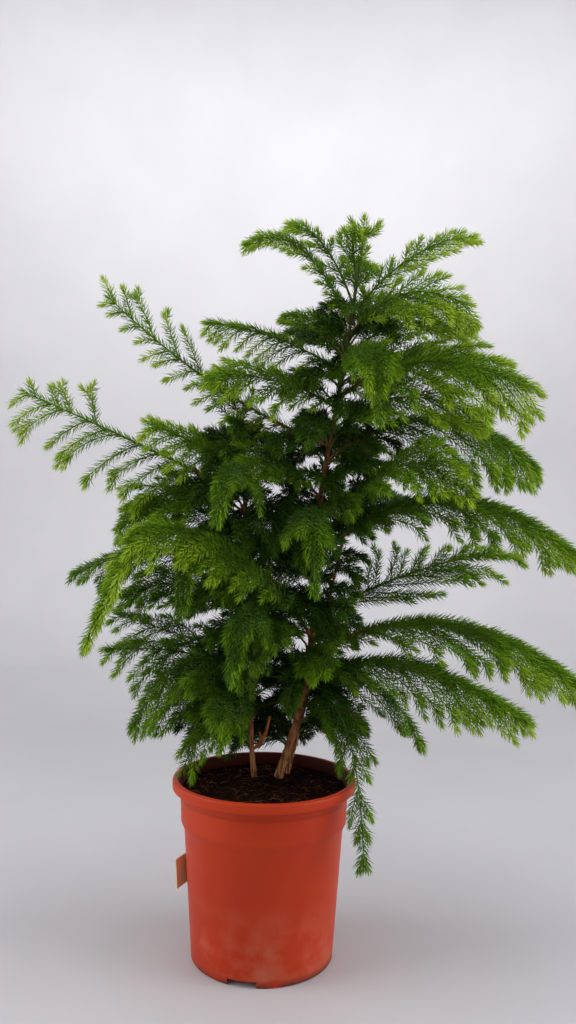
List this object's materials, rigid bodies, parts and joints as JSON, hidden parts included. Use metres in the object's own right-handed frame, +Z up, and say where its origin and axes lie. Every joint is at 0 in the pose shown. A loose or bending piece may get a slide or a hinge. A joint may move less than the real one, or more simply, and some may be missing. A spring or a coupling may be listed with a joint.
{
  "type": "norfolk island pine in a pot",
  "caption": "Young Norfolk Island pine with slender stems and feathery tiers of arching branches, growing in a round terracotta-coloured nursery pot filled with peat.",
  "frame": {"origin": "centre of the pot's flat underside, on the surface that the pot stands on", "axes": "+Z up, -Y towards the side the plant is seen from, +X to the right of that view"},
  "size_m": [0.7691, 0.4944, 0.9975],
  "materials": {
    "pot": "moulded polypropylene, satin, terracotta red",
    "peat": "moist fibrous peat",
    "card": "plain kraft card",
    "bark": "scaly red-brown bark",
    "needles": "soft green needles"
  },
  "bodies": {
    "root": {"pot": "pot", "peat": "peat", "card": "card", "stem_main": "bark", "stem_left": "bark", "stem_right": "bark", "bough_high_right": "bark", "bough_long_left": "bark", "bough_long_right": "bark", "bough_middle_right": "bark", "bough_sweep_front_left": "bark", "bough_low_right": "bark", "bough_arm_left": "bark", "bough_fan_right": "bark", "needles_top_left": "needles", "needles_top_back": "needles", "needles_top_front": "needles", "needles_top_right": "needles", "needles_crown_left": "needles", "needles_crown_left_low": "needles", "needles_crown_right": "needles", "needles_crown_back_right": "needles", "needles_crown_back": "needles", "needles_high_left": "needles", "needles_high_front": "needles", "needles_high_back_right": "needles", "needles_high_right": "needles", "needles_high_front_left": "needles", "needles_long_left": "needles", "needles_long_right": "needles", "needles_upper_back": "needles", "needles_inner_left": "needles", "needles_middle_right": "needles", "needles_middle_front": "needles", "needles_middle_back": "needles", "needles_sweep_front_left": "needles", "needles_low_right": "needles", "needles_low_back_right": "needles", "needles_rim_right": "needles", "needles_leader_left": "needles", "needles_arm_left": "needles", "needles_arm_front_left": "needles", "needles_arm_back": "needles", "needles_shelf_left": "needles", "needles_arm_front": "needles", "needles_inner_front": "needles", "needles_shelf_back_left": "needles", "needles_inner_back": "needles", "needles_low_front": "needles", "needles_low_back_left": "needles", "needles_low_back": "needles", "needles_low_left": "needles", "needles_skirt_left": "needles", "needles_rim_left": "needles", "needles_rim_front_left": "needles", "needles_leader_right": "needles", "needles_side_front_right": "needles", "needles_side_back_right": "needles", "needles_fan_right": "needles", "needles_side_low_right": "needles"}
  },
  "joints": []
}
